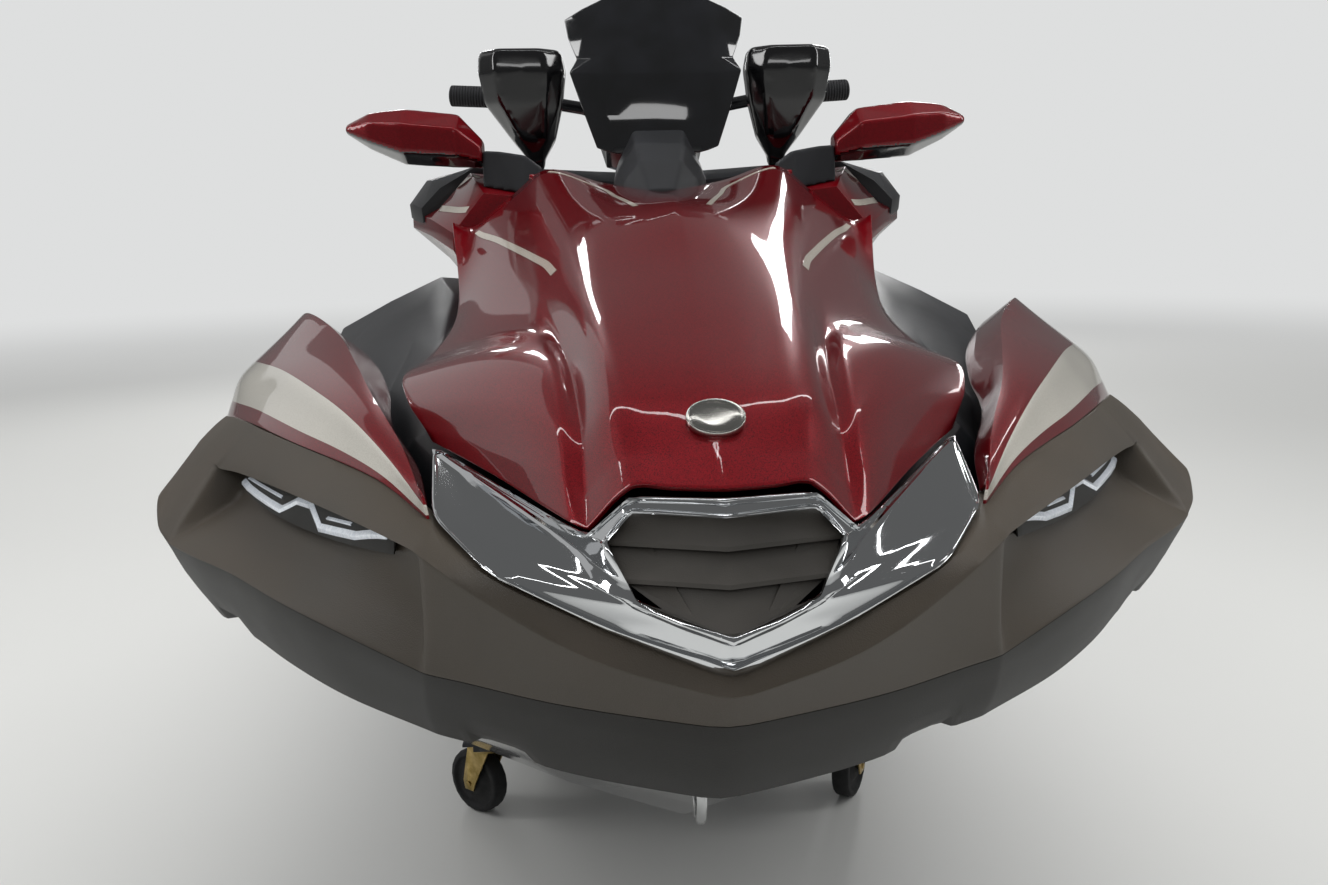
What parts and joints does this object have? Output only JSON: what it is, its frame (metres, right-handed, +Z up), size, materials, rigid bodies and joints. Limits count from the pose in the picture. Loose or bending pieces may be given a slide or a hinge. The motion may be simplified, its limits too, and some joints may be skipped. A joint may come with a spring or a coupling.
{
  "type": "personal watercraft",
  "caption": "Three-seat personal watercraft on a wheeled shop cradle, with steering, storage lid, jet pump with reverse bucket, boarding step and swivel casters",
  "frame": {"origin": "centre of the footprint, on the floor under the casters", "axes": "+Z up, the bow points to -Y, +X is the craft's port side"},
  "size_m": [1.1996, 3.5823, 1.3685],
  "materials": {
    "hull": "moulded black hull",
    "deck": "dark moulded deck",
    "bow_deck": "dark moulded deck",
    "bow_bumper": "satin grey-brown moulding",
    "bow_eye": "stainless",
    "bumper_lower": "nearly black moulding",
    "dash_surround": "dark satin moulding",
    "bunk_port": "carpeted bunk",
    "bunk_starboard": "carpeted bunk",
    "boarding_step": "moulded step",
    "chrome_mask": "bright chrome",
    "cowl": "candy dark red gloss",
    "cradle_frame": "painted steel",
    "engine_block": "plain block for the engine",
    "fender_port": "candy dark red gloss",
    "fender_starboard": "candy dark red gloss",
    "footwell_mat_port": "textured mat",
    "footwell_mat_starboard": "textured mat",
    "platform_mat": "textured mat",
    "front_seat": "seat cover vinyl",
    "rear_seat": "seat cover vinyl",
    "glovebox_lid": "satin",
    "grab_rail": "gloss black",
    "grille": "dark grey moulding",
    "hood": "candy dark red gloss",
    "impeller": "stainless",
    "pump_housing": "cast",
    "ride_plate": "cast",
    "steering_nozzle": "cast",
    "reverse_bucket": "cast",
    "lamp_port": "clear lens",
    "lamp_starboard": "clear lens",
    "mirror_base_port": "satin grey",
    "mirror_base_starboard": "satin grey",
    "mirror_housing_port": "candy dark red gloss",
    "mirror_housing_starboard": "candy dark red gloss",
    "mirror_glass_port": "mirror",
    "mirror_glass_starboard": "mirror",
    "nose_cone": "satin grey",
    "rub_rail_port": "rubber",
    "rub_rail_starboard": "rubber",
    "speaker_pod_port": "gloss black",
    "speaker_pod_starboard": "gloss black",
    "sponson_port": "black moulding",
    "sponson_starboard": "black moulding",
    "steering_cover": "gloss black",
    "steering_neck": "gloss black",
    "grip_port": "rubber",
    "grip_starboard": "rubber",
    "stern_eye_port": "stainless",
    "stern_eye_starboard": "stainless",
    "windscreen": "dark tinted gloss",
    "caster_fork_front_port": "zinc plate",
    "caster_wheel_front_port": "black rubber tread",
    "caster_fork_front_starboard": "zinc plate",
    "caster_wheel_front_starboard": "black rubber tread",
    "caster_fork_rear_port": "zinc plate",
    "caster_wheel_rear_port": "black rubber tread",
    "caster_fork_rear_starboard": "zinc plate",
    "caster_wheel_rear_starboard": "black rubber tread"
  },
  "bodies": {
    "craft": {"hull": "hull", "deck": "deck", "bow_deck": "bow_deck", "bow_bumper": "bow_bumper", "bow_eye": "bow_eye", "bumper_lower": "bumper_lower", "dash_surround": "dash_surround", "bunk_port": "bunk_port", "bunk_starboard": "bunk_starboard", "chrome_mask": "chrome_mask", "cowl": "cowl", "cradle_frame": "cradle_frame", "engine_block": "engine_block", "fender_port": "fender_port", "fender_starboard": "fender_starboard", "footwell_mat_port": "footwell_mat_port", "footwell_mat_starboard": "footwell_mat_starboard", "platform_mat": "platform_mat", "front_seat": "front_seat", "rear_seat": "rear_seat", "grab_rail": "grab_rail", "grille": "grille", "pump_housing": "pump_housing", "ride_plate": "ride_plate", "lamp_port": "lamp_port", "lamp_starboard": "lamp_starboard", "mirror_base_port": "mirror_base_port", "mirror_base_starboard": "mirror_base_starboard", "mirror_housing_port": "mirror_housing_port", "mirror_housing_starboard": "mirror_housing_starboard", "mirror_glass_port": "mirror_glass_port", "mirror_glass_starboard": "mirror_glass_starboard", "nose_cone": "nose_cone", "rub_rail_port": "rub_rail_port", "rub_rail_starboard": "rub_rail_starboard", "speaker_pod_port": "speaker_pod_port", "speaker_pod_starboard": "speaker_pod_starboard", "sponson_port": "sponson_port", "sponson_starboard": "sponson_starboard", "steering_neck": "steering_neck", "stern_eye_port": "stern_eye_port", "stern_eye_starboard": "stern_eye_starboard", "windscreen": "windscreen"},
    "hood_body": {"hood": "hood"},
    "steering_body": {"steering_cover": "steering_cover", "grip_port": "grip_port", "grip_starboard": "grip_starboard"},
    "glovebox_body": {"glovebox_lid": "glovebox_lid"},
    "step_body": {"boarding_step": "boarding_step"},
    "impeller_body": {"impeller": "impeller"},
    "nozzle_body": {"steering_nozzle": "steering_nozzle"},
    "bucket_body": {"reverse_bucket": "reverse_bucket"},
    "fork_front_port": {"caster_fork_front_port": "caster_fork_front_port"},
    "wheel_front_port": {"caster_wheel_front_port": "caster_wheel_front_port"},
    "fork_front_starboard": {"caster_fork_front_starboard": "caster_fork_front_starboard"},
    "wheel_front_starboard": {"caster_wheel_front_starboard": "caster_wheel_front_starboard"},
    "fork_rear_port": {"caster_fork_rear_port": "caster_fork_rear_port"},
    "wheel_rear_port": {"caster_wheel_rear_port": "caster_wheel_rear_port"},
    "fork_rear_starboard": {"caster_fork_rear_starboard": "caster_fork_rear_starboard"},
    "wheel_rear_starboard": {"caster_wheel_rear_starboard": "caster_wheel_rear_starboard"}
  },
  "joints": [
    {"name": "hood_hinge", "type": "hinge", "parent": "craft", "child": "hood_body", "pos_m": [0, -0.694, 1.086], "axis": [-1, 0, 0], "range_deg": [0, 40]},
    {"name": "steering", "type": "hinge", "parent": "craft", "child": "steering_body", "pos_m": [0, -0.32, 1.12], "axis": [0, 0.5299, 0.848], "range_deg": [-22, 22]},
    {"name": "nozzle_steer", "type": "hinge", "parent": "craft", "child": "nozzle_body", "pos_m": [0, 1.54, 0.235], "axis": [0, 0, 1], "range_deg": [-18, 18]},
    {"name": "bucket_hinge", "type": "hinge", "parent": "nozzle_body", "child": "bucket_body", "pos_m": [0, 1.57, 0.235], "axis": [-1, 0, 0], "range_deg": [0, 75]},
    {"name": "glovebox_hinge", "type": "hinge", "parent": "craft", "child": "glovebox_body", "pos_m": [0, -0.228, 1.031], "axis": [1, 0, 0], "range_deg": [0, 70]},
    {"name": "step_hinge", "type": "hinge", "parent": "craft", "child": "step_body", "pos_m": [0.405, 1.758, 0.335], "axis": [-1, 0, 0], "range_deg": [0, 95]},
    {"name": "impeller_spin", "type": "hinge", "parent": "craft", "child": "impeller_body", "pos_m": [0, 1.37, 0.235], "axis": [0, 1, 0], "continuous": true},
    {"name": "swivel_front_port", "type": "hinge", "parent": "craft", "child": "fork_front_port", "pos_m": [0.31, -0.52, 0.13], "axis": [0, 0, 1], "continuous": true},
    {"name": "roll_front_port", "type": "hinge", "parent": "fork_front_port", "child": "wheel_front_port", "pos_m": [0.32502, -0.49175, 0.0575], "axis": [-0.8829, 0.4695, 0], "continuous": true},
    {"name": "swivel_front_starboard", "type": "hinge", "parent": "craft", "child": "fork_front_starboard", "pos_m": [-0.31, -0.52, 0.13], "axis": [0, 0, 1], "continuous": true},
    {"name": "roll_front_starboard", "type": "hinge", "parent": "fork_front_starboard", "child": "wheel_front_starboard", "pos_m": [-0.33451, -0.49943, 0.0575], "axis": [-0.6428, -0.766, 0], "continuous": true},
    {"name": "swivel_rear_port", "type": "hinge", "parent": "craft", "child": "fork_rear_port", "pos_m": [0.31, 1.11, 0.13], "axis": [0, 0, 1], "continuous": true},
    {"name": "roll_rear_port", "type": "hinge", "parent": "fork_rear_port", "child": "wheel_rear_port", "pos_m": [0.31828, 1.14091, 0.0575], "axis": [-0.9659, 0.2588, 0], "continuous": true},
    {"name": "swivel_rear_starboard", "type": "hinge", "parent": "craft", "child": "fork_rear_starboard", "pos_m": [-0.31, 1.11, 0.13], "axis": [0, 0, 1], "continuous": true},
    {"name": "roll_rear_starboard", "type": "hinge", "parent": "fork_rear_starboard", "child": "wheel_rear_starboard", "pos_m": [-0.31556, 1.14151, 0.0575], "axis": [-0.9848, -0.1736, 0], "continuous": true}
  ],
  "couplings": [
    {"joint": "nozzle_steer", "follows": "steering", "ratio": 0.8}
  ]
}
